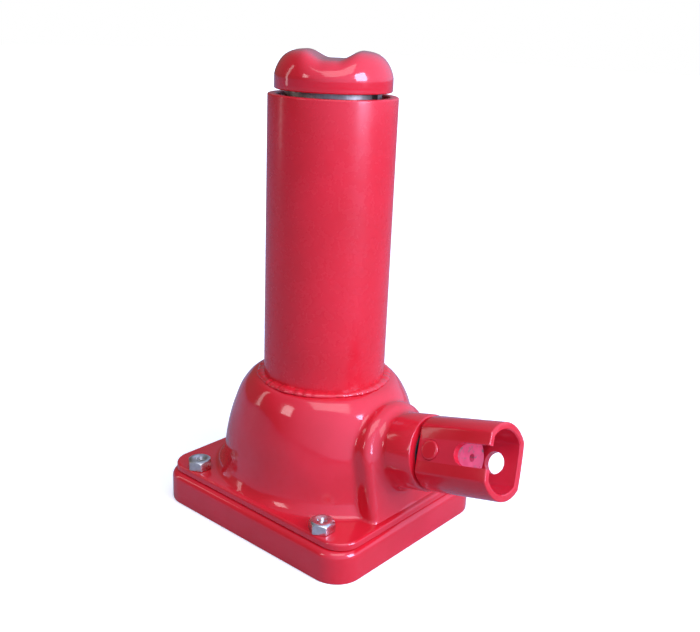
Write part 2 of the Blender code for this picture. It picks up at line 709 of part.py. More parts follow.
def make_crown_gear(mat):
    _, cone = pitch_cones()
    module = 2.0 * CONE_OUTER * math.sin(cone) / GEAR_TEETH
    columns = tooth_columns(GEAR_TEETH, cone, (-DEDENDUM, ADDENDUM), math.pi / GEAR_TEETH)
    root_r = cone_point(CONE_OUTER, cone, -DEDENDUM, module)[0]
    inner_depth = cone_point(CONE_INNER, cone, -DEDENDUM, module)[1]
    bore = SPINDLE_SEAT_R + 0.2
    rows = []
    hub_foot = APEX_Z - inner_depth - 0.4

    def circle_row(r, z):
        rows.append([(r * math.cos(a), r * math.sin(a), z) for a, _ in columns])

    circle_row(bore, GEAR_BOTTOM)
    circle_row(root_r, GEAR_BOTTOM)
    for distance in (CONE_OUTER, CONE_INNER):
        row = []
        for angle, height in columns:
            r, depth = cone_point(distance, cone, height, module)
            row.append((r * math.cos(angle), r * math.sin(angle), APEX_Z - depth))
        rows.append(row)
    circle_row(GEAR_HUB_R + 1.0, hub_foot)
    circle_row(GEAR_HUB_R, GEAR_HUB_TOP)
    circle_row(bore, GEAR_HUB_TOP)
    gear = grid("crown_gear", rows, mat, loop=True)
    cut(gear, block("keyway", (-SPINDLE_SEAT_R - 2.4, -3.1, 20.0), (-SPINDLE_SEAT_R + 2.0, 3.1, 42.0)))
    return finish(gear)


def make_gear_key(mat):
    low = (-SPINDLE_SEAT_R - 2.1, -2.9, 27.3)
    high = (-SPINDLE_SEAT_R + 2.3, 2.9, GEAR_HUB_TOP - 0.2)
    return block_node("gear_key", low, high, mat)


def block_node(name, low, high, mat):
    ob = block(name, low, high)
    ob.data.materials.append(mat)
    return finish(ob)


def make_race(name, low, groove_side, inner, mat):
    """Flat race with a round ball groove in the face that looks at the balls."""
    steps = 4
    face = low + RACE_THICK if groove_side > 0 else low
    back = low if groove_side > 0 else low + RACE_THICK
    reach = math.sqrt(GROOVE_R ** 2 - (BALL_Z - face) ** 2)
    profile = [(inner, back), (RACE_OUTER_R, back), (RACE_OUTER_R, face)]
    for i in range(steps + 1):
        x = reach * math.cos(math.pi * i / steps)
        z = BALL_Z - groove_side * math.sqrt(GROOVE_R ** 2 - x * x)
        profile.append((BALL_PITCH_R + x, z))
    profile.append((inner, face))
    return finish(turned(name, profile, mat))


def make_bearing(race_mat, cage_mat, ball_mat):
    make_race("race_lower", RACE_BOTTOM, 1, 16.6, race_mat)
    make_race("race_upper", UPPER_RACE_BOTTOM, -1, SPINDLE_SEAT_R + 0.2, race_mat)
    cage = turned("ball_cage", tube_profile(17.1, 24.7, BALL_Z - 0.6, BALL_Z + 0.6, 0.0), cage_mat)
    for n in range(BALL_COUNT):
        t = math.tau * n / BALL_COUNT
        at = Matrix.Translation((
            BALL_PITCH_R * math.cos(t) * MM, BALL_PITCH_R * math.sin(t) * MM, BALL_Z * MM))
        at = at @ Matrix.Rotation(t + 0.06, 4, "Z")
        cut(cage, shaft("pocket", [(BALL_R + 0.3, -4.0), (BALL_R + 0.3, 4.0)], matrix=at, segments=8))
        rows = []
        for k in range(1, 6):
            lean = math.pi * k / 6.0
            rows.append(ring(BALL_R * math.sin(lean), -BALL_R * math.cos(lean), 8))
        finish(grid("bearing_ball_%02d" % (n + 1), rows, ball_mat, at), 80.0)
    finish(cage)


def make_pinion_shaft(mat):
    cone, _ = pitch_cones()
    module = 2.0 * CONE_OUTER * math.sin(cone) / PINION_TEETH
    flank = (-DEDENDUM, -0.1, ADDENDUM)
    columns = tooth_columns(PINION_TEETH, cone, flank, -math.pi / 2.0)
    rows = []

    def circle_row(r, along):
        rows.append([(along, r * math.cos(a), r * math.sin(a)) for a, _ in columns])

    hub_r, hub_at = cone_point(CONE_INNER, cone, -DEDENDUM, module)
    circle_row(hub_r - 0.8, hub_at - 0.6)
    for distance in (CONE_INNER, CONE_OUTER):
        row = []
        for angle, height in columns:
            r, along = cone_point(distance, cone, height, module)
            row.append((along, r * math.cos(angle), r * math.sin(angle)))
        rows.append(row)
    circle_row(SHAFT_COLLAR_R - 0.5, SHAFT_COLLAR_START + 1.2)
    circle_row(SHAFT_COLLAR_R, SHAFT_COLLAR_START + 1.7)
    circle_row(SHAFT_COLLAR_R, SHAFT_COLLAR_END)
    circle_row(SHAFT_R, SHAFT_COLLAR_END)
    circle_row(SHAFT_R, SHAFT_END - 1.0)
    circle_row(SHAFT_R - 1.0, SHAFT_END)
    bar = grid("pinion_shaft", rows, mat, drive_matrix())
    frame = drive_matrix()
    centre = [(0.8, SHAFT_END - 4.5), (1.3, SHAFT_END - 2.2), (2.3, SHAFT_END + 0.5)]
    cut(bar, shaft("centre", centre, matrix=frame, segments=24, axis="X"))
    cut(bar, cross_bar("cross_hole", PIN_R + FIT, 20.0))
    return finish(bar)


def cross_bar(name, radius, half_length, at=PIN_AT, segments=24):
    """Cylinder square to the drive axis, along the line through both socket flats."""
    frame = drive_matrix(DRIVE_ROLL) @ Matrix.Translation((at * MM, 0.0, 0.0))
    frame = frame @ Matrix.Rotation(math.pi / 2.0, 4, "X")
    return shaft(name, [(radius, -half_length), (radius, half_length)], matrix=frame, segments=segments)


def make_drive_bushes(mat, washer_mat, seal_mat):
    frame = drive_matrix()
    for name, start, end in (("drive_bush_inner", 38.6, 50.0), ("drive_bush_outer", 60.0, 75.0)):
        finish(turned(name, tube_profile(BUSH_BORE, BUSH_R, start, end, 0.0), mat, frame, axis="X"))
    washer = tube_profile(SHAFT_R + 0.3, 16.2, WASHER_START, WASHER_END, 0.0)
    finish(turned("thrust_washer", washer, washer_mat, frame, axis="X"))
    seal = tube_profile(SHAFT_R + 0.12, BUSH_R, SEAL_START, BOSS_END - 0.4, 0.6)
    finish(turned("shaft_seal", seal, seal_mat, frame, axis="X"))


def socket_outline(radius, flat, along):
    """Round tube pressed in on two sides: circle with two flats and soft corners."""
    out = []
    for i in range(SOCKET_SIDES):
        t = math.tau * i / SOCKET_SIDES
        y = radius * math.cos(t)
        squeeze = flat * math.tanh(1.9 * abs(y) / flat) / math.tanh(1.9 * radius / flat)
        out.append((along, math.copysign(min(abs(y), squeeze), y), radius * math.sin(t)))
    return out


def make_drive_socket(mat):
    frame = drive_matrix(DRIVE_ROLL)
    outer = [socket_outline(SOCKET_R - 0.7, SOCKET_FLAT - 0.7, SOCKET_START)]
    outer.append(socket_outline(SOCKET_R, SOCKET_FLAT, SOCKET_START + 0.7))
    outer.append(socket_outline(SOCKET_R, SOCKET_FLAT, SOCKET_END - 0.5))
    outer.append(socket_outline(SOCKET_R - 0.5, SOCKET_FLAT - 0.5, SOCKET_END))
    inner_r = SOCKET_R - SOCKET_WALL
    inner_flat = SOCKET_FLAT - SOCKET_WALL
    inner = [socket_outline(inner_r, inner_flat, along) for along in (SOCKET_START - 2.0, SOCKET_END + 2.0)]
    socket = grid("drive_socket", outer, mat, frame)
    cut(socket, grid("bore", inner, matrix=frame))
    cut(socket, cross_bar("pin_hole", PIN_R + FIT, 30.0))
    cut(socket, cross_bar("lock_hole", LOCK_HOLE_R, 30.0, LOCK_HOLE_AT))
    slot = block(
        "slot", (LOCK_HOLE_AT, -30.0, -LOCK_HOLE_R), (SOCKET_END + 5.0, -5.0, LOCK_HOLE_R), frame)
    cut(socket, slot)
    return finish(socket)


def make_socket_pin(mat):
    frame = drive_matrix(DRIVE_ROLL) @ Matrix.Translation((PIN_AT * MM, 0.0, 0.0))
    frame = frame @ Matrix.Rotation(math.pi / 2.0, 4, "X")
    reach = SOCKET_FLAT + PIN_PROUD
    return finish(shaft("socket_pin", [
        (PIN_R - 1.0, -reach), (PIN_R - 0.3, -reach + 0.3), (PIN_R, -reach + 1.0),
        (PIN_R, reach - 1.0), (PIN_R - 0.3, reach - 0.3), (PIN_R - 1.0, reach),
    ], mat, frame, 24))


# ---------------------------------------------------------------- assembly
def main():
    clear_scene()
    paint = (0.62, 0.02, 0.045)
    base_mat = material("red_enamel_base", paint, 0.16, 0.0)
    housing_mat = material("red_enamel_housing", paint, 0.14, 0.0)
    column_mat = material("red_enamel_column", paint, 0.13, 0.0)
    weld_mat = material("red_enamel_weld", paint, 0.18, 0.0)
    saddle_mat = material("red_enamel_saddle", paint, 0.12, 0.0)
    socket_mat = material("red_enamel_socket", (0.58, 0.02, 0.045), 0.16, 0.0)
    zinc = material("bright_zinc", (0.72, 0.71, 0.68), 0.28, 1.0)
    ground_steel = material("ground_steel", (0.47, 0.45, 0.42), 0.32, 1.0)
    oiled_steel = material("oiled_steel", (0.24, 0.22, 0.2), 0.38, 1.0)
    dark_steel = material("dark_steel", (0.13, 0.13, 0.13), 0.45, 1.0)
    bearing_steel = material("bearing_steel", (0.62, 0.63, 0.65), 0.15, 1.0)
    bronze = material("bronze", (0.55, 0.36, 0.16), 0.35, 1.0)
    cage_steel = material("cage_steel", (0.42, 0.4, 0.36), 0.4, 1.0)
    rubber = material("black_rubber", (0.02, 0.02, 0.02), 0.6, 0.0)

    make_base_plate(base_mat)
    make_base_screws(zinc)
    make_gear_housing(housing_mat)
    make_column(column_mat)
    make_weld_bead(weld_mat)
    make_guide(bronze, dark_steel)
    make_ram_tube(ground_steel)
    make_lift_nut(bronze)
    make_nut_pins(dark_steel)
    make_saddle(saddle_mat)
    make_spindle(oiled_steel)
    make_spindle_stop(dark_steel, dark_steel)
    make_crown_gear(oiled_steel)
    make_gear_key(dark_steel)
    make_bearing(bearing_steel, cage_steel, bearing_steel)
    finish(turned("base_bush", tube_profile(SPINDLE_TAIL_R + 0.12, 12.05, 4.3, 12.6, 0.0), bronze))
    make_pinion_shaft(oiled_steel)
    make_drive_bushes(bronze, dark_steel, rubber)
    make_drive_socket(socket_mat)
    make_socket_pin(socket_mat)


main()
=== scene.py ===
"""Finished look of a mechanical screw bottle jack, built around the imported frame.

World frame: origin on the ground under the column, +Z up, +X toward the drive socket.
Lengths are in millimetres and turned into metres by MM.
"""
import bmesh
import bpy
import math
from mathutils import Matrix, Vector, noise


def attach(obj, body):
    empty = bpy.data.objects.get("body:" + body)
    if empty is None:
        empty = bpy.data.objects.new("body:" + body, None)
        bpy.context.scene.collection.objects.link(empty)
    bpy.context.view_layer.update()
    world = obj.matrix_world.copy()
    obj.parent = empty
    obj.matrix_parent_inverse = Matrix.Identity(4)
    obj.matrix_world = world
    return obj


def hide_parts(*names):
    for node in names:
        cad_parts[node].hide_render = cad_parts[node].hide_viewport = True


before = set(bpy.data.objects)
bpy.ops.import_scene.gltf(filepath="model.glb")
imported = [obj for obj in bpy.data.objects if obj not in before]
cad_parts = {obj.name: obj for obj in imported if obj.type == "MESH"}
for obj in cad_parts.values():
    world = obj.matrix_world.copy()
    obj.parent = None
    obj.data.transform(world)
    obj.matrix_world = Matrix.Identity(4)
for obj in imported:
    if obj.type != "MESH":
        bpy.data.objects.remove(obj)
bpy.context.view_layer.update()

MM = 0.001

# ---------------------------------------------------------------- sizes (mm)
BASE_HALF_X = 68.0
BASE_HALF_Y = 60.0
BASE_CORNER = 15.0
BASE_TOP = 17.3
BASE_SHOULDER = 3.7
BASE_FOOT_BREAK = 0.8
BASE_POCKET_DEPTH = 7.5
BASE_RIM = 8.0
BASE_RIB = 6.0
BASE_HUB_R = 28.0

FLANGE_HALF_X = 66.4
FLANGE_HALF_Y = 56.7
FLANGE_CORNER = 12.5
FLANGE_BOTTOM = 17.6
FLANGE_TOP = 21.5
FLANGE_EDGE = 1.3

SCREW_X = 46.8
SCREW_Y = 49.8
SCREW_AF = 12.0
SCREW_HEAD = 5.5
SCREW_SIGNS = ((1, -1), (-1, -1), (-1, 1), (1, 1))
SCREW_TURN = (0.51, 0.42, 0.9, 0.3)
SCREW_RELIEF_R = 8.6

# dome of the housing: height, half length along X, half length along Y
DOME = (
    (19.0, 66.2, 56.5),
    (21.0, 64.2, 54.6),
    (22.6, 62.6, 53.2),
    (25.2, 60.9, 51.6),
    (28.6, 59.7, 50.6),
    (35.2, 58.5, 49.9),
    (44.0, 57.0, 49.1),
    (52.8, 54.8, 47.9),
    (61.6, 51.4, 46.0),
    (68.2, 48.4, 44.3),
    (72.6, 45.6, 42.6),
    (76.2, 42.4, 40.6),
    (78.4, 39.2, 38.6),
    (79.4, 35.6, 35.6),
)
NECK_BORE_R = 25.6
SEAT_Z = 70.0
CAVITY_TOP = 66.0

COLUMN_R = 33.0
COLUMN_BORE = 28.5
COLUMN_BOTTOM = 70.3
COLUMN_TOP = 228.5
GUIDE_BOTTOM = 200.0
GUIDE_TOP = 226.3
GUIDE_BORE = 24.65
GUIDE_R = 28.35
KEY_ANGLE = math.radians(8.0)

RAM_R = 24.5
RAM_BORE = 18.6
RAM_BOTTOM = 70.6
RAM_TOP = 235.6

SADDLE_BOTTOM = 230.7
SADDLE_R = 29.8
SADDLE_TOP = 250.3
SADDLE_GROOVE_Z = 246.0
SADDLE_TURN = math.radians(36.0)

APEX_Z = 38.34
DRIVE_TILT = math.radians(13.8)
DRIVE_ROLL = math.radians(-27.4)
BORE_FACE = 38.2
BUSH_SEAT_R = 14.6
BOSS_R = 19.6
BOSS_FOOT_R = 23.4
BOSS_END = 78.6
ARCH_FACE = 57.6
ARCH_HALF_WIDTH = 26.6
ARCH_RISE = 24.6
ARCH_EDGE = 4.0

SOCKET_START = 80.1
SOCKET_END = 121.4
SOCKET_R = 19.1
SOCKET_FLAT = 15.5
SOCKET_WALL = 3.6
PIN_AT = 87.8
PIN_R = 5.0
PIN_PROUD = 1.1
LOCK_HOLE_AT = 107.7
LOCK_HOLE_R = 5.6

FLOOR_GLOW_NEAR = 0.42     # keeps the floor pale without a hard light
FLOOR_GLOW_FAR = 0.85
FLOOR_BOUNCE = (0.36, 0.35, 0.38)
CAMERA_AZIMUTH = 41.929    # degrees, from -Y toward +X

FINE = 128                 # sides of a turned surface


# ---------------------------------------------------------------- mesh helpers
def solid(name, points, faces, matrix=None):
    """Closed mesh object from millimetre points, placed by the matrix."""
    mesh = bpy.data.meshes.new(name)
    mesh.from_pydata([[c * MM for c in p] for p in points], [], faces)
    shell = bmesh.new()
    shell.from_mesh(mesh)
    bmesh.ops.recalc_face_normals(shell, faces=shell.faces)
    if matrix is not None:
        bmesh.ops.transform(shell, matrix=matrix, verts=shell.verts)
    shell.to_mesh(mesh)
    shell.free()
    ob = bpy.data.objects.new(name, mesh)
    bpy.context.scene.collection.objects.link(ob)
    return ob


def grid(name, rows, matrix=None, loop=False):
    """Skin closed rings of points; ends capped, or the last ring joined to the first."""
    n = len(rows[0])
    points = [p for row in rows for p in row]
    faces = []
    for i in range(len(rows) if loop else len(rows) - 1):
        a = i * n
        b = ((i + 1) % len(rows)) * n
        for j in range(n):
            k = (j + 1) % n
            faces.append((a + j, a + k, b + k, b + j))
    if not loop:
        faces.append(tuple(reversed(range(n))))
        faces.append(tuple(range((len(rows) - 1) * n, len(rows) * n)))
    return solid(name, points, faces, matrix)


def ring(radius, height, segments=FINE, axis="Z"):
    out = []
    for i in range(segments):
        t = math.tau * i / segments
        c = radius * math.cos(t)
        s = radius * math.sin(t)
        out.append((c, s, height) if axis == "Z" else (height, c, s))
    return out


def turned(name, profile, matrix=None, segments=FINE, axis="Z"):
    return grid(name, [ring(r, h, segments, axis) for r, h in profile], matrix, loop=True)


def shaft(name, profile, matrix=None, segments=48, axis="Z"):
    return grid(name, [ring(r, h, segments, axis) for r, h in profile], matrix)


def rounded_corner(profile, radius, steps=4):
    """Closed (radius, height) section with every corner replaced by a small arc."""
    out = []
    n = len(profile)
    for i in range(n):
        here = Vector(profile[i])
        before = (Vector(profile[i - 1]) - here)
        after = (Vector(profile[(i + 1) % n]) - here)
        reach = min(radius, before.length * 0.45, after.length * 0.45)
        start = here + before.normalized() * reach
        end = here + after.normalized() * reach
        for k in range(steps + 1):
            t = k / steps
            point = start * (1 - t) ** 2 + here * 2 * t * (1 - t) + end * t ** 2
            out.append((point.x, point.y))
    return out


def rounded_rectangle(half_x, half_y, corner, height, steps=14):
    out = []
    for k, (sx, sy) in enumerate(((1, 1), (-1, 1), (-1, -1), (1, -1))):
        for i in range(steps + 1):
            t = math.pi / 2.0 * (k + i / steps)
            out.append((
                sx * (half_x - corner) + corner * math.cos(t),
                sy * (half_y - corner) + corner * math.sin(t),
                height,
            ))
    return out


def block(name, low, high, matrix=None):
    (x0, y0, z0), (x1, y1, z1) = low, high
    rows = [[(x0, y0, z), (x1, y0, z), (x1, y1, z), (x0, y1, z)] for z in (z0, z1)]
    return grid(name, rows, matrix)


def apply_modifiers(ob):
    bpy.context.view_layer.update()
    graph = bpy.context.evaluated_depsgraph_get()
    mesh = bpy.data.meshes.new_from_object(ob.evaluated_get(graph))
    ob.modifiers.clear()
    ob.data = mesh
    return ob


def combine(target, tool, operation):
    """Boolean written back into the target; the tool is used up."""
    mod = target.modifiers.new("bool", "BOOLEAN")
    mod.operation = operation
    mod.solver = "EXACT"
    mod.object = tool
    apply_modifiers(target)
    bpy.data.objects.remove(tool, do_unlink=True)
    return target


def cut(target, tool):
    return combine(target, tool, "DIFFERENCE")


def add(target, tool):
    return combine(target, tool, "UNION")


def soften(ob, width, segments=3, degrees=32.0):
    """Small rolled edges, as paint or wear leaves them."""
    mod = ob.modifiers.new("edges", "BEVEL")
    mod.width = width * MM
    mod.segments = segments
    mod.limit_method = "ANGLE"
    mod.angle_limit = math.radians(degrees)
    mod.use_clamp_overlap = True
    mod.harden_normals = False
    return apply_modifiers(ob)


def wavy(ob, amount, size, seed, floor_z):
    """Casting unevenness above floor_z: every vertex moves a little along its normal."""
    mesh = ob.data
    offset = Vector((seed * 3.1, seed * 1.7, seed * 0.9))
    for vertex in mesh.vertices:
        where = vertex.co / (size * MM) + offset
        share = min(1.0, max(0.0, (vertex.co.z / MM - floor_z) / 6.0))
        vertex.co += vertex.normal * (noise.noise(where) * amount * share * MM)
    return ob


def piece(ob, body, mat, nodes, sharp_degrees=30.0):
    """Hand a finished mesh to the frame: material, body and the nodes it stands for."""
    ob.data.materials.clear()
    ob.data.materials.append(mat)
    ob.data.shade_smooth()
    ob.data.set_sharp_from_angle(angle=math.radians(sharp_degrees))
    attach(ob, body)
    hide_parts(*nodes)
    return ob


def drive_matrix(roll=0.0):
    """Local X runs out along the inclined drive axis from the point under the column."""
    place = Matrix.Translation((0.0, 0.0, APEX_Z * MM))
    tilt = Matrix.Rotation(-DRIVE_TILT, 4, "Y")
    return place @ tilt @ Matrix.Rotation(roll, 4, "X")


def cross_matrix(at):
    """Local Z runs square to the drive axis, through both pressed flats of the socket."""
    frame_here = drive_matrix(DRIVE_ROLL) @ Matrix.Translation((at * MM, 0.0, 0.0))
    return frame_here @ Matrix.Rotation(math.pi / 2.0, 4, "X")


# ---------------------------------------------------------------- materials
class Nodes:
    """Small builder for one node material."""

    def __init__(self, name, roughness, metallic, coat=0.0):
        self.mat = bpy.data.materials.new(name)
        self.mat.use_nodes = True
        self.tree = self.mat.node_tree
        self.shader = self.tree.nodes["Principled BSDF"]
        self.shader.inputs["Metallic"].default_value = metallic
        self.shader.inputs["Roughness"].default_value = roughness
        self.shader.inputs["Coat Weight"].default_value = coat
        self.shader.inputs["Coat Roughness"].default_value = 0.04
        self.where = self.tree.nodes.new("ShaderNodeTexCoord").outputs["Object"]
        self.normal = None

    def link(self, a, b):
        self.tree.links.new(a, b)

    def stretched(self, scale):
        mapping = self.tree.nodes.new("ShaderNodeMapping")
        mapping.inputs["Scale"].default_value = scale
        self.link(self.where, mapping.inputs["Vector"])
        return mapping.outputs["Vector"]

    def noise(self, scale, detail=3.0, rough=0.5, vector=None, distortion=0.0):
        node = self.tree.nodes.new("ShaderNodeTexNoise")
        node.inputs["Scale"].default_value = scale
        node.inputs["Detail"].default_value = detail
        node.inputs["Roughness"].default_value = rough
        node.inputs["Distortion"].default_value = distortion
        self.link(vector or self.where, node.inputs["Vector"])
        return node.outputs["Fac"]

    def span(self, value, low, high, to_low, to_high):
        node = self.tree.nodes.new("ShaderNodeMapRange")
        node.inputs["From Min"].default_value = low
        node.inputs["From Max"].default_value = high
        node.inputs["To Min"].default_value = to_low
        node.inputs["To Max"].default_value = to_high
        self.link(value, node.inputs["Value"])
        return node.outputs["Result"]

    def blend(self, factor, first, second):
        node = self.tree.nodes.new("ShaderNodeMix")
        node.data_type = "RGBA"
        self.link(factor, node.inputs["Factor"])
        for socket, colour in ((node.inputs[6], first), (node.inputs[7], second)):
            if isinstance(colour, tuple):
                socket.default_value = (*colour, 1.0)
            else:
                self.link(colour, socket)
        return node.outputs[2]

    def bump(self, height, strength, distance):
        node = self.tree.nodes.new("ShaderNodeBump")
        node.inputs["Strength"].default_value = strength
        node.inputs["Distance"].default_value = distance * MM
        self.link(height, node.inputs["Height"])
        if self.normal is not None:
            self.link(self.normal, node.inputs["Normal"])
        self.normal = node.outputs["Normal"]

    def pointiness(self):
        return self.tree.nodes.new("ShaderNodeNewGeometry").outputs["Pointiness"]

    def done(self, colour, roughness=None):
        self.link(colour, self.shader.inputs["Base Color"])
        if roughness is not None:
            self.link(roughness, self.shader.inputs["Roughness"])
        if self.normal is not None:
            self.link(self.normal, self.shader.inputs["Normal"])
        return self.mat


RED = (0.74, 0.012, 0.025)
RED_DEEP = (0.67, 0.010, 0.019)
# painted shade: dark red laid into concave creases and corners where shade falls
RED_CREASE_SHADE = (0.20, 0.006, 0.014)
# lighter, pinker edge colour: thin paint plus a painted highlight
RED_THIN_EDGE_AND_HIGHLIGHT = (0.80, 0.030, 0.060)


def enamel(name, wave, grain=0.02, tint=1.0, rough_low=0.07, rough_high=0.20, coat=0.55):
    """Glossy sprayed enamel: slow colour drift, orange peel, painted shade in corners, thin paint and a painted
    highlight on edges.
    """
    make = Nodes(name, rough_low, 0.0, coat=coat)
    red = tuple(c * tint for c in RED)
    deep = tuple(c * tint for c in RED_DEEP)
    drift = make.span(make.noise(34.0, 4.0, 0.55), 0.35, 0.68, 0.0, 1.0)
    colour = make.blend(drift, red, deep)
    edge = make.pointiness()
    # painted shade: concave creases and corners darken toward the painted shade colour
    painted_crease_shade = make.span(edge, 0.47, 0.40, 0.0, 0.75)
    colour = make.blend(painted_crease_shade, colour, RED_CREASE_SHADE)
    # convex edges turn lighter and pinker: thin paint plus a painted highlight
    thin_edge_and_highlight = make.span(edge, 0.545, 0.64, 0.0, 0.55)
    colour = make.blend(thin_edge_and_highlight, colour, RED_THIN_EDGE_AND_HIGHLIGHT)
    rough = make.span(make.noise(150.0, 5.0, 0.6), 0.3, 0.75, rough_low, rough_high)
    make.bump(make.noise(26.0, 2.0, 0.45), 0.5, wave)
    make.bump(make.noise(520.0, 2.0, 0.5), 0.5, grain)
    return make.done(colour, rough)


def metal(name, bright, dark, rough, along=(1.0, 1.0, 1.0), scale=420.0, grain=0.012, stain=None):
    """Bare metal: tool marks stretched along one direction, cloudy oil film or stain."""
    make = Nodes(name, rough, 1.0)
    marks = make.noise(scale, 4.0, 0.6, make.stretched(along))
    colour = make.blend(make.span(marks, 0.3, 0.7, 0.0, 1.0), bright, dark)
    if stain is not None:
        cloud = make.span(make.noise(70.0, 4.0, 0.6, distortion=0.6), 0.45, 0.72, 0.0, 0.8)
        colour = make.blend(cloud, colour, stain)
    film = make.span(make.noise(55.0, 4.0, 0.55), 0.3, 0.7, rough * 0.7, rough * 1.45)
    make.bump(marks, 0.6, grain)
    return make.done(colour, film)


def drive_shaft_finish(name):
    """Oiled steel inside the housing; the end in the socket caught the spray and is scuffed."""
    make = Nodes(name, 0.34, 0.0)
    axis = (math.cos(DRIVE_TILT), 0.0, math.sin(DRIVE_TILT))
    dot = make.tree.nodes.new("ShaderNodeVectorMath")
    dot.operation = "DOT_PRODUCT"
    dot.inputs[1].default_value = axis
    make.link(make.where, dot.inputs[0])
    apex = APEX_Z * math.sin(DRIVE_TILT)
    painted = make.span(dot.outputs["Value"], (BOSS_END + 4.0 + apex) * MM, (BOSS_END + 9.0 + apex) * MM, 0.0, 1.0)
    scuff = make.span(make.noise(380.0, 5.0, 0.65, make.stretched((0.4, 1.0, 1.0))), 0.56, 0.66, 1.0, 0.0)
    mask = make.tree.nodes.new("ShaderNodeMath")
    mask.operation = "MULTIPLY"
    make.link(painted, mask.inputs[0])
    make.link(scuff, mask.inputs[1])
    paint = make.blend(make.noise(240.0, 3.0), (0.78, 0.10, 0.16), (0.52, 0.03, 0.07))
    steel = make.blend(make.noise(420.0, 4.0), (0.34, 0.31, 0.28), (0.17, 0.15, 0.13))
    colour = make.blend(mask.outputs["Value"], steel, paint)
    make.link(make.span(mask.outputs["Value"], 0.0, 1.0, 1.0, 0.0), make.shader.inputs["Metallic"])
    make.bump(make.noise(420.0, 4.0), 0.5, 0.02)
    return make.done(colour, make.span(make.noise(90.0), 0.3, 0.7, 0.26, 0.46))


def rubber(name):
    make = Nodes(name, 0.6, 0.0)
    colour = make.blend(make.noise(160.0, 4.0), (0.012, 0.012, 0.012), (0.045, 0.04, 0.036))
    make.bump(make.noise(900.0, 2.0), 0.6, 0.02)
    return make.done(colour, make.span(make.noise(90.0), 0.3, 0.7, 0.35, 0.75))


# ---------------------------------------------------------------- visible pieces
def make_base(mat):
    rows = []
    for i in range(5):
        t = math.pi / 2.0 * i / 4
        inset = BASE_FOOT_BREAK * (1.0 - math.sin(t))
        rise = BASE_FOOT_BREAK * (1.0 - math.cos(t))
        rows.append(rounded_rectangle(
            BASE_HALF_X - inset, BASE_HALF_Y - inset, BASE_CORNER - inset, rise))
    for share in (0.25, 0.5, 0.75):
        height = BASE_FOOT_BREAK + share * (BASE_TOP - BASE_SHOULDER - BASE_FOOT_BREAK)
        rows.append(rounded_rectangle(BASE_HALF_X, BASE_HALF_Y, BASE_CORNER, height))
    for i in range(9):
        t = math.pi / 2.0 * i / 8
        inset = BASE_SHOULDER * (1.0 - math.cos(t))
        rows.append(rounded_rectangle(
            BASE_HALF_X - inset, BASE_HALF_Y - inset, BASE_CORNER - inset,
            BASE_TOP - BASE_SHOULDER * (1.0 - math.sin(t))))
    plate = grid("base_casting", rows)

    pocket = grid("pocket", [
        rounded_rectangle(BASE_HALF_X - BASE_RIM - draft, BASE_HALF_Y - BASE_RIM - draft, 8.0, z)
        for z, draft in ((-1.0, 0.0), (BASE_POCKET_DEPTH - 1.2, 0.3), (BASE_POCKET_DEPTH, 1.6))])
    cut(pocket, shaft("hub", [(BASE_HUB_R, -2.0), (BASE_HUB_R, 9.0)], segments=96))
    cut(pocket, block("rib_x", (-70.0, -BASE_RIB / 2, -2.0), (70.0, BASE_RIB / 2, 9.0)))
    cut(pocket, block("rib_y", (-BASE_RIB / 2, -70.0, -2.0), (BASE_RIB / 2, 70.0, 9.0)))
    for sx, sy in SCREW_SIGNS:
        at = Matrix.Translation((sx * SCREW_X * MM, sy * SCREW_Y * MM, 0.0))
        cut(pocket, shaft("pad", [(9.0, -2.0), (9.0, 9.0)], at))
    cut(plate, pocket)
    cut(plate, shaft("race_seat", [(25.2, 12.9), (25.2, 20.0)], segments=96))
    cut(plate, shaft("bush_seat", [(12.2, 4.0), (12.2, 20.0)], segments=64))
    for sx, sy in SCREW_SIGNS:
        at = Matrix.Translation((sx * SCREW_X * MM, sy * SCREW_Y * MM, 0.0))
        cut(plate, shaft("hole", [(4.2, -1.0), (4.2, 20.0)], at, 32))
    return piece(plate, "frame", mat, ["base_plate"])


def ellipse(half_x, half_y, height, segments=120):
    out = []
    for i in range(segments):
        t = math.tau * i / segments
        out.append((half_x * math.cos(t), half_y * math.sin(t), height))
    return out


def smooth_rows(table, step=1.2):
    """The dome table read at even steps on a smooth curve through its points."""
    rows = []
    for i in range(len(table) - 1):
        a = Vector(table[max(i - 1, 0)])
        b = Vector(table[i])
        c = Vector(table[i + 1])
        d = Vector(table[min(i + 2, len(table) - 1)])
        count = max(1, round((c - b).length / step))
        for k in range(count):
            t = k / count
            rows.append(0.5 * (
                2 * b + (c - a) * t + (2 * a - 5 * b + 4 * c - d) * t ** 2
                + (3 * b - a - 3 * c + d) * t ** 3))
    rows.append(Vector(table[-1]))
    return rows


def arch_outline(half_width, rise, along, foot):
    """Arch seen along the drive axis: half ellipse on top, legs that spread toward the flange."""
    out = []
    steps = 40
    for i in range(steps + 1):
        t = math.pi * i / steps
        out.append((along, half_width * math.cos(t), rise * math.sin(t)))
    spread = 2.6
    legs = 8
    for i in range(1, legs + 1):
        t = i / legs
        out.append((along, -half_width - spread * t * t, -foot * t))
    for i in range(legs, 0, -1):
        t = i / legs
        out.append((along, half_width + spread * t * t, -foot * t))
    return out


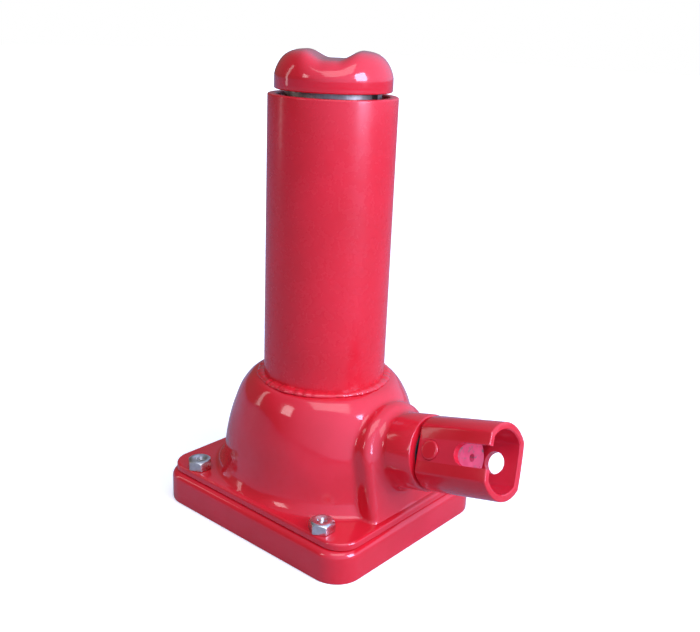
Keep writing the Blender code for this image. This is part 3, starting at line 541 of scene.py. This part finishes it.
def make_housing(mat):
    flange_rows = [
        rounded_rectangle(FLANGE_HALF_X - 0.3, FLANGE_HALF_Y - 0.3, FLANGE_CORNER, FLANGE_BOTTOM),
        rounded_rectangle(FLANGE_HALF_X, FLANGE_HALF_Y, FLANGE_CORNER, FLANGE_BOTTOM + 0.3),
    ]
    for i in range(6):
        t = math.pi / 2.0 * i / 5
        inset = FLANGE_EDGE * (1.0 - math.cos(t))
        flange_rows.append(rounded_rectangle(
            FLANGE_HALF_X - inset, FLANGE_HALF_Y - inset, FLANGE_CORNER - inset,
            FLANGE_TOP - FLANGE_EDGE * (1.0 - math.sin(t))))
    flange = grid("flange", flange_rows)
    skirt = grid("housing_casting", [
        rounded_rectangle(FLANGE_HALF_X - 3.0, FLANGE_HALF_Y - 3.0, FLANGE_CORNER - 3.0, z)
        for z in (FLANGE_BOTTOM + 0.6, FLANGE_TOP - 0.06)])

    dome = grid("dome", [ellipse(a, b, z) for z, a, b in smooth_rows(DOME)])
    for sx, sy in SCREW_SIGNS:
        at = Matrix.Translation((sx * SCREW_X * MM, sy * SCREW_Y * MM, 0.0))
        cut(dome, shaft("relief", [(SCREW_RELIEF_R, 10.0), (SCREW_RELIEF_R, 34.0)], at))

    place = drive_matrix()
    foot = 40.0
    arch_rows = [arch_outline(ARCH_HALF_WIDTH, ARCH_RISE, 12.0, foot)]
    for i in range(9):
        t = math.pi / 2.0 * i / 8
        inset = ARCH_EDGE * (1.0 - math.cos(t))
        arch_rows.append(arch_outline(
            ARCH_HALF_WIDTH - inset, ARCH_RISE - inset,
            ARCH_FACE - ARCH_EDGE * (1.0 - math.sin(t)), foot))
    arch = grid("arch", arch_rows, place)
    cut(arch, block("below", (-80.0, -60.0, -40.0), (120.0, 60.0, FLANGE_BOTTOM + 1.0)))

    boss = shaft("boss", [
        (BOSS_FOOT_R, ARCH_FACE - 6.0), (BOSS_FOOT_R, ARCH_FACE - 0.6),
        (BOSS_FOOT_R - 0.6, ARCH_FACE + 0.2), (BOSS_FOOT_R - 1.8, ARCH_FACE + 0.9),
        (BOSS_R + 0.9, ARCH_FACE + 2.0), (BOSS_R + 0.2, ARCH_FACE + 3.4), (BOSS_R, ARCH_FACE + 4.8),
        (BOSS_R, ARCH_FACE + 12.0),
    ], place, 96, "X")
    neck = shaft("neck", [
        (BOSS_R - 3.0, ARCH_FACE + 2.0), (BOSS_R + 0.05, ARCH_FACE + 5.6), (BOSS_R + 0.05, BOSS_END - 1.0),
        (BOSS_R - 0.25, BOSS_END - 0.3), (BOSS_R - 0.9, BOSS_END),
    ], place, FINE, "X")

    body = skirt
    shell = bmesh.new()
    shell.from_mesh(body.data)
    for other in (dome, arch, boss):
        shell.from_mesh(other.data)
        bpy.data.objects.remove(other, do_unlink=True)
    shell.to_mesh(body.data)
    shell.free()
    remesh = body.modifiers.new("remesh", "REMESH")
    remesh.mode = "VOXEL"
    remesh.voxel_size = 0.8 * MM
    remesh.use_smooth_shade = True
    apply_modifiers(body)

    blendable = body.vertex_groups.new(name="blend")
    back = place.inverted()
    for vertex in body.data.vertices:
        here = vertex.co / MM
        local = (back @ vertex.co) / MM
        inside = min(FLANGE_HALF_X - abs(here.x), FLANGE_HALF_Y - abs(here.y))
        weight = 1.0
        if here.z < FLANGE_TOP + 0.3:
            weight = min(1.0, max(0.06, (inside - 4.5) / 3.0))
        if local.x > ARCH_FACE - 5.5:
            weight = 0.30
        if local.x > ARCH_FACE + 3.5:
            weight = 0.12
        if here.z > 77.5:
            weight = 0.25
        blendable.add([vertex.index], weight, "REPLACE")
    smooth = body.modifiers.new("fillets", "SMOOTH")
    smooth.factor = 0.5
    smooth.iterations = 22
    smooth.vertex_group = "blend"
    apply_modifiers(body)
    wavy(body, 0.38, 16.0, 2.0, FLANGE_TOP)
    add(body, flange)
    add(body, neck)

    tool = grid("cavity", [ellipse(49.0, 43.4, 10.0)] + [
        ellipse(a - 7.5, b - 7.5, z) for z, a, b in DOME if 28.0 < z < 62.0]
        + [ellipse(41.5, 37.2, CAVITY_TOP)])
    add(tool, shaft("neck", [(NECK_BORE_R, 50.0), (NECK_BORE_R, 90.0)], segments=96))
    add(tool, shaft("seat", [(COLUMN_R + 0.2, SEAT_Z), (COLUMN_R + 0.2, 90.0)], segments=FINE))
    add(tool, shaft("pinion_room", [(18.4, 4.0), (18.4, BORE_FACE)], place, 64, "X"))
    add(tool, shaft("bore", [
        (BUSH_SEAT_R, 20.0), (BUSH_SEAT_R, BOSS_END - 0.5), (BUSH_SEAT_R + 1.6, BOSS_END + 1.1)], place, 64, "X"))
    for sx, sy in SCREW_SIGNS:
        at = Matrix.Translation((sx * SCREW_X * MM, sy * SCREW_Y * MM, 0.0))
        add(tool, shaft("hole", [(4.4, 10.0), (4.4, 30.0)], at, 32))
    cut(body, tool)
    return piece(body, "frame", mat, ["gear_housing"], 38.0)


def make_column(mat):
    section = rounded_corner([
        (COLUMN_BORE, COLUMN_BOTTOM), (COLUMN_R, COLUMN_BOTTOM),
        (COLUMN_R, COLUMN_TOP), (COLUMN_BORE, COLUMN_TOP)], 0.9, 5)
    column = turned("column_sleeve", section, segments=192)
    return piece(column, "frame", mat, ["column_tube"])


WELD_RIPPLES = 23.0


def make_weld(mat):
    """Hand-laid fillet weld: overlapping ripples and uneven width."""
    rows = []
    sides = 720
    for i in range(sides):
        t = math.tau * i / sides
        where = Vector((math.cos(t) * 3.0, math.sin(t) * 3.0, 0.3))
        drift = noise.noise(where)
        ripple = abs(math.sin(WELD_RIPPLES * t + 3.5 * drift)) ** 0.8
        fine = noise.noise(where * 5.0)
        swell = 0.24 * ripple - 0.2 + 0.9 * drift + 0.4 * fine
        outer = 36.75 + swell
        top = 81.25 + 0.55 * swell + 0.25 * fine
        low = 79.45
        inner = COLUMN_R + 0.05
        count = 12
        row = [(inner, low - 0.3), (outer - 0.5, low - 0.3)]
        for k in range(count + 1):
            lean = math.pi / 2.0 * k / count
            r = inner + (outer - inner) * math.cos(lean) ** 0.85
            z = low + (top - low) * math.sin(lean) ** 0.85
            row.append((r, z))
        rows.append([(r * math.cos(t), r * math.sin(t), z) for r, z in row])
    weld = grid("weld_ring", rows, loop=True)
    return piece(weld, "frame", mat, ["weld_bead"], 80.0)


def saddle_height(x, y):
    """Wide shallow groove between two humps, falling off to the rim."""
    across = abs(x * math.cos(SADDLE_TURN) + y * math.sin(SADDLE_TURN))
    rise = min(1.0, max(0.0, (across - 3.2) / 11.5))
    thin_edge_and_highlight = SADDLE_GROOVE_Z + (SADDLE_TOP - SADDLE_GROOVE_Z) * 0.5 * (1.0 - math.cos(math.pi * rise))
    reach = min(1.0, math.hypot(x, y) / SADDLE_R)
    shoulder = SADDLE_BOTTOM + 6.8
    return shoulder + (thin_edge_and_highlight - shoulder) * (1.0 - reach ** 6) ** 0.75


def make_saddle(mat):
    sides = 144
    rows = []
    for r, z in ((SADDLE_R - 0.9, 0.0), (SADDLE_R - 0.45, 0.12), (SADDLE_R - 0.12, 0.45), (SADDLE_R, 0.9),
                 (SADDLE_R, 3.2), (SADDLE_R, 5.2)):
        rows.append(ring(r, SADDLE_BOTTOM + z, sides))
    steps = 46
    for k in range(steps):
        lean = math.pi / 2.0 * k / steps
        radius = SADDLE_R * math.cos(lean) ** 0.9
        row = []
        for i in range(sides):
            t = math.tau * i / sides
            x = radius * math.cos(t)
            y = radius * math.sin(t)
            row.append((x, y, saddle_height(x, y)))
        rows.append(row)
    saddle = grid("saddle_cap", rows)
    cut(saddle, shaft("socket", [(RAM_R + 0.2, 220.0), (RAM_R + 0.2, RAM_TOP + 0.3)], segments=96))
    add(saddle, shaft("spigot", [
        (RAM_BORE - 1.0, 225.0), (RAM_BORE - 0.15, 225.8), (RAM_BORE - 0.15, RAM_TOP + 3.0)], segments=96))
    return piece(saddle, "ram", mat, ["saddle"], 40.0)


def make_ram(mat):
    section = rounded_corner([
        (RAM_BORE, RAM_BOTTOM), (RAM_R, RAM_BOTTOM), (RAM_R, RAM_TOP), (RAM_BORE, RAM_TOP)], 0.6, 3)
    ram = turned("ram_sleeve", section)
    turn = Matrix.Rotation(KEY_ANGLE, 4, "Z")
    cut(ram, block("keyway", (RAM_R - 2.6, -2.75, 60.0), (RAM_R + 2.0, 2.75, 250.0), turn))
    for side in (1.0, -1.0):
        at = Matrix.Rotation(side * math.pi / 2.0, 4, "Z") @ Matrix.Translation((0.0, 0.0, 87.05 * MM))
        cut(ram, shaft("pin_hole", [(3.15, 10.0), (3.15, 30.0)], at, 32, "X"))
    return piece(ram, "ram", mat, ["ram_tube"])


def make_guide(mat):
    section = rounded_corner([
        (GUIDE_BORE, GUIDE_BOTTOM), (GUIDE_R, GUIDE_BOTTOM), (GUIDE_R, GUIDE_TOP), (GUIDE_BORE, GUIDE_TOP)],
        0.5, 3)
    bush = turned("guide_sleeve", section)
    turn = Matrix.Rotation(KEY_ANGLE, 4, "Z")
    cut(bush, block("slot", (RAM_R - 1.0, -2.65, 206.0), (RAM_R + 2.9, 2.65, 224.6), turn))
    return piece(bush, "frame", mat, ["guide_bush"])


def make_screws(mat):
    half = SCREW_AF / 2.0
    corner = half / math.cos(math.pi / 6.0)
    seat = FLANGE_TOP + 0.3
    top = seat + SCREW_HEAD
    for n, (sx, sy) in enumerate(SCREW_SIGNS):
        at = Matrix.Translation((sx * SCREW_X * MM, sy * SCREW_Y * MM, 0.0))
        at = at @ Matrix.Rotation(SCREW_TURN[n], 4, "Z")
        head = grid("hex_screw_%d" % (n + 1), [ring(corner, seat, 6), ring(corner, top, 6)], at)
        crown = shaft("crown", [
            (corner - 0.5, seat - 0.5), (corner + 0.1, seat + 0.4), (corner + 0.1, top - 1.5),
            (corner - 0.35, top - 0.95), (half * 0.98, top - 0.45), (half * 0.86, top - 0.08), (half * 0.78, top),
        ], at, 72)
        combine(head, crown, "INTERSECT")
        cut(head, shaft("dish", [(half * 0.2, top - 0.75), (half * 0.5, top - 0.5), (half * 0.72, top + 0.25)], at, 48))
        for turn in (0.0, math.pi / 2.0):
            arm = at @ Matrix.Rotation(turn, 4, "Z")
            cut(head, grid("arm", [
                [(-1.0, -0.45, top - 3.0), (1.0, -0.45, top - 3.0), (1.0, 0.45, top - 3.0), (-1.0, 0.45, top - 3.0)],
                [(-3.4, -0.8, top + 0.4), (3.4, -0.8, top + 0.4), (3.4, 0.8, top + 0.4), (-3.4, 0.8, top + 0.4)],
            ], arm))
        add(head, shaft("shank", [(3.2, 5.5), (4.0, 6.3), (4.0, seat + 1.0)], at, 40))
        soften(head, 0.18, 2, 35.0)
        piece(head, "frame", mat, ["base_screw_%d" % (n + 1)], 40.0)


def socket_outline(radius, flat, along, sides=144):
    """Round tube pressed in on two sides: circle with two flats and soft corners."""
    out = []
    for i in range(sides):
        t = math.tau * i / sides
        y = radius * math.cos(t)
        squeeze = flat * math.tanh(1.9 * abs(y) / flat) / math.tanh(1.9 * radius / flat)
        out.append((along, math.copysign(min(abs(y), squeeze), y), radius * math.sin(t)))
    return out


def make_socket(mat):
    place = drive_matrix(DRIVE_ROLL)
    rows = []
    for inset, along in ((0.8, 0.0), (0.4, 0.12), (0.1, 0.4), (0.0, 0.8)):
        rows.append(socket_outline(SOCKET_R - inset, SOCKET_FLAT - inset, SOCKET_START + along))
    for inset, along in ((0.0, 0.7), (0.08, 0.35), (0.3, 0.1), (0.6, 0.0)):
        rows.append(socket_outline(SOCKET_R - inset, SOCKET_FLAT - inset, SOCKET_END - along))
    socket = grid("handle_socket", rows, place)
    inner_r = SOCKET_R - SOCKET_WALL
    inner_flat = SOCKET_FLAT - SOCKET_WALL
    bore = []
    for grow, along in ((0.0, SOCKET_START - 2.0), (0.0, SOCKET_END - 0.6), (0.6, SOCKET_END + 0.05), (0.9, SOCKET_END + 2.0)):
        bore.append(socket_outline(inner_r + grow, inner_flat + grow, along))
    cut(socket, grid("bore", bore, place))
    cut(socket, shaft("pin_hole", [(PIN_R + 0.15, -30.0), (PIN_R + 0.15, 30.0)], cross_matrix(PIN_AT), 48))
    cut(socket, shaft("lock_hole", [(LOCK_HOLE_R, -30.0), (LOCK_HOLE_R, 30.0)], cross_matrix(LOCK_HOLE_AT), 64))
    slot = block("slot", (LOCK_HOLE_AT, -30.0, -LOCK_HOLE_R), (SOCKET_END + 5.0, -5.0, LOCK_HOLE_R), place)
    cut(socket, slot)
    soften(socket, 0.3, 2, 50.0)
    return piece(socket, "drive", mat, ["drive_socket"], 40.0)


def make_pin(mat):
    reach = SOCKET_FLAT + PIN_PROUD
    profile = []
    for k in range(7):
        lean = math.pi / 2.0 * k / 6
        profile.append((PIN_R - 1.2 * (1.0 - math.sin(lean)), -reach + 1.0 * (1.0 - math.cos(lean))))
    profile += [(r, -z) for r, z in reversed(profile)]
    pin = shaft("cross_pin", profile, cross_matrix(PIN_AT), 64)
    return piece(pin, "drive", mat, ["socket_pin"], 50.0)


# ---------------------------------------------------------------- stage, light, camera
def make_stage():
    floor = bpy.data.meshes.new("floor")
    reach = 6.0
    floor.from_pydata(
        [(-reach, -reach, 0.0), (reach, -reach, 0.0), (reach, reach, 0.0), (-reach, reach, 0.0)], [], [(0, 1, 2, 3)])
    ob = bpy.data.objects.new("floor", floor)
    bpy.context.scene.collection.objects.link(ob)
    make = Nodes("floor_white", 0.6, 0.0)
    make.shader.inputs["Specular IOR Level"].default_value = 0.1
    make.shader.inputs["Emission Color"].default_value = (1.0, 1.0, 1.0, 1.0)
    seen = make.tree.nodes.new("ShaderNodeLightPath").outputs["Is Camera Ray"]
    length = make.tree.nodes.new("ShaderNodeVectorMath")
    length.operation = "LENGTH"
    make.link(make.where, length.inputs[0])
    far = make.span(length.outputs["Value"], 0.25, 1.3, FLOOR_GLOW_NEAR, FLOOR_GLOW_FAR)
    glow = make.tree.nodes.new("ShaderNodeMath")
    glow.operation = "MULTIPLY"
    make.link(seen, glow.inputs[0])
    make.link(far, glow.inputs[1])
    make.link(glow.outputs["Value"], make.shader.inputs["Emission Strength"])
    grain = make.blend(make.noise(2.0), (0.92, 0.92, 0.92), (0.94, 0.94, 0.94))
    floor.materials.append(make.done(make.blend(seen, FLOOR_BOUNCE, grain)))


def area_light(name, turn, rise, distance, size_x, size_y, radiance, colour=(1.0, 1.0, 1.0)):
    """Soft box aimed at the jack; turn is measured round the column from the camera, to its right."""
    light = bpy.data.lights.new(name, "AREA")
    light.shape = "RECTANGLE"
    light.size = size_x
    light.size_y = size_y
    light.energy = radiance * math.pi * size_x * size_y
    light.color = colour
    ob = bpy.data.objects.new(name, light)
    bpy.context.scene.collection.objects.link(ob)
    heading = math.radians(CAMERA_AZIMUTH + turn)
    lift = math.radians(rise)
    out = Vector((
        math.sin(heading) * math.cos(lift), -math.cos(heading) * math.cos(lift), math.sin(lift)))
    target = Vector((0.0, 0.0, 0.11))
    ob.location = target + out * distance
    ob.rotation_euler = (-out).to_track_quat("-Z", "Y").to_euler()
    return ob


def make_world():
    """White behind the jack; what lights it and mirrors in it is a dim room, brighter to the right."""
    world = bpy.data.worlds.new("studio")
    bpy.context.scene.world = world
    world.use_nodes = True
    tree = world.node_tree
    nodes = tree.nodes
    room = nodes["Background"]
    heading = math.radians(CAMERA_AZIMUTH + 62.0)
    toward = (math.sin(heading), -math.cos(heading), 0.25)
    where = nodes.new("ShaderNodeTexCoord").outputs["Generated"]
    dot = nodes.new("ShaderNodeVectorMath")
    dot.operation = "DOT_PRODUCT"
    dot.inputs[1].default_value = toward
    tree.links.new(where, dot.inputs[0])
    ramp = nodes.new("ShaderNodeValToRGB")
    ramp.color_ramp.elements[0].position = 0.0
    ramp.color_ramp.elements[0].color = (0.14, 0.125, 0.12, 1.0)
    ramp.color_ramp.elements[1].position = 1.0
    ramp.color_ramp.elements[1].color = (0.95, 1.20, 1.95, 1.0)
    spread = nodes.new("ShaderNodeMapRange")
    spread.inputs["From Min"].default_value = -0.6
    spread.inputs["From Max"].default_value = 1.0
    tree.links.new(dot.outputs["Value"], spread.inputs["Value"])
    tree.links.new(spread.outputs["Result"], ramp.inputs["Fac"])
    tree.links.new(ramp.outputs["Color"], room.inputs["Color"])
    room.inputs["Strength"].default_value = 1.0
    white = nodes.new("ShaderNodeBackground")
    white.inputs["Color"].default_value = (1.0, 1.0, 1.0, 1.0)
    mix = nodes.new("ShaderNodeMixShader")
    tree.links.new(nodes.new("ShaderNodeLightPath").outputs["Is Camera Ray"], mix.inputs["Fac"])
    tree.links.new(room.outputs["Background"], mix.inputs[1])
    tree.links.new(white.outputs["Background"], mix.inputs[2])
    tree.links.new(mix.outputs["Shader"], nodes["World Output"].inputs["Surface"])


def make_light():
    make_world()
    bpy.context.scene.view_settings.view_transform = "Standard"
    area_light("key_window", 54.0, 22.0, 1.25, 0.50, 0.72, 10.0, (0.86, 0.98, 1.50))
    area_light("left_strip", -100.0, 18.0, 1.3, 0.14, 0.9, 1.9)
    area_light("top_panel", 8.0, 62.0, 1.4, 1.0, 0.8, 1.85, (1.0, 0.98, 1.0))
    area_light("left_window", -56.0, 24.0, 1.5, 0.26, 0.42, 4.0)


def make_camera():
    """Camera solved from the photograph's perspective: height, distance and lens."""
    azimuth = math.radians(CAMERA_AZIMUTH)
    elevation = math.radians(18.039)
    pan = math.radians(1.529)
    roll = math.radians(1.934)
    distance = 0.48883
    target_height = 0.112127
    focal_px = 903.24
    image_width = 700.0
    out = Vector((math.sin(azimuth) * math.cos(elevation), -math.cos(azimuth) * math.cos(elevation), math.sin(elevation)))
    place = out * distance + Vector((0.0, 0.0, target_height))
    forward = -out
    right = forward.cross(Vector((0.0, 0.0, 1.0))).normalized()
    up = right.cross(forward)
    forward = (forward * math.cos(pan) + right * math.sin(pan)).normalized()
    right = forward.cross(up).normalized()
    up = right.cross(forward)
    side = right * math.cos(roll) + up * math.sin(roll)
    top = -right * math.sin(roll) + up * math.cos(roll)
    camera = bpy.data.cameras.new("camera")
    camera.sensor_fit = "HORIZONTAL"
    camera.sensor_width = 36.0
    camera.lens = focal_px * camera.sensor_width / image_width
    camera.clip_start = 0.01
    ob = bpy.data.objects.new("camera", camera)
    bpy.context.scene.collection.objects.link(ob)
    ob.matrix_world = Matrix((
        (side.x, top.x, -forward.x, place.x),
        (side.y, top.y, -forward.y, place.y),
        (side.z, top.z, -forward.z, place.z),
        (0.0, 0.0, 0.0, 1.0),
    ))
    bpy.context.scene.camera = ob


def dress_inner_nodes(finishes):
    """Give every carried-over node its own procedural finish."""
    for names, mat in finishes:
        for name in names:
            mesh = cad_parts[name].data
            mesh.materials.clear()
            mesh.materials.append(mat)


def main():
    make_camera()
    make_light()
    make_stage()

    base_paint = enamel("enamel_base", 0.25)
    housing_paint = enamel("enamel_housing", 0.75)
    column_paint = enamel("enamel_column", 0.10, rough_low=0.22, rough_high=0.32, coat=0.16)
    weld_paint = enamel("enamel_weld", 0.2)
    saddle_paint = enamel("enamel_saddle", 0.25)
    socket_paint = enamel("enamel_socket", 0.2, tint=0.96, rough_low=0.12, rough_high=0.26, coat=0.3)
    zinc = metal("zinc_plate", (0.80, 0.79, 0.75), (0.58, 0.57, 0.53), 0.26, stain=(0.50, 0.46, 0.36))
    ground = metal("ground_ram", (0.34, 0.30, 0.27), (0.22, 0.19, 0.17), 0.34, (1.0, 1.0, 0.08), 900.0,
                   stain=(0.12, 0.085, 0.065))
    oiled = metal("oiled_steel_finish", (0.34, 0.31, 0.28), (0.17, 0.15, 0.13), 0.34, stain=(0.10, 0.075, 0.055))
    dark = metal("dark_steel_finish", (0.18, 0.18, 0.18), (0.09, 0.09, 0.09), 0.42)
    polished = metal("bearing_finish", (0.66, 0.67, 0.69), (0.52, 0.53, 0.55), 0.14, grain=0.004)
    bronze = metal("bronze_finish", (0.60, 0.40, 0.18), (0.42, 0.26, 0.11), 0.32, (1.0, 1.0, 3.0),
                   stain=(0.22, 0.13, 0.06))
    cage = metal("cage_finish", (0.46, 0.44, 0.40), (0.33, 0.31, 0.28), 0.38)
    seal = rubber("seal_rubber")

    make_base(base_paint)
    make_housing(housing_paint)
    make_column(column_paint)
    make_weld(weld_paint)
    make_saddle(saddle_paint)
    make_ram(ground)
    make_guide(bronze)
    make_screws(zinc)
    make_socket(socket_paint)
    make_pin(socket_paint)

    balls = ["bearing_ball_%02d" % (n + 1) for n in range(12)]
    dress_inner_nodes((
        (("spindle", "crown_gear"), oiled),
        (("pinion_shaft",), drive_shaft_finish("drive_shaft_finish")),
        (("guide_key", "gear_key", "nut_pin_1", "nut_pin_2", "stop_washer", "stop_clip", "thrust_washer"), dark),
        (["race_lower", "race_upper"] + balls, polished),
        (("lift_nut", "base_bush", "drive_bush_inner", "drive_bush_outer"), bronze),
        (("ball_cage",), cage),
        (("shaft_seal",), seal),
    ))


main()
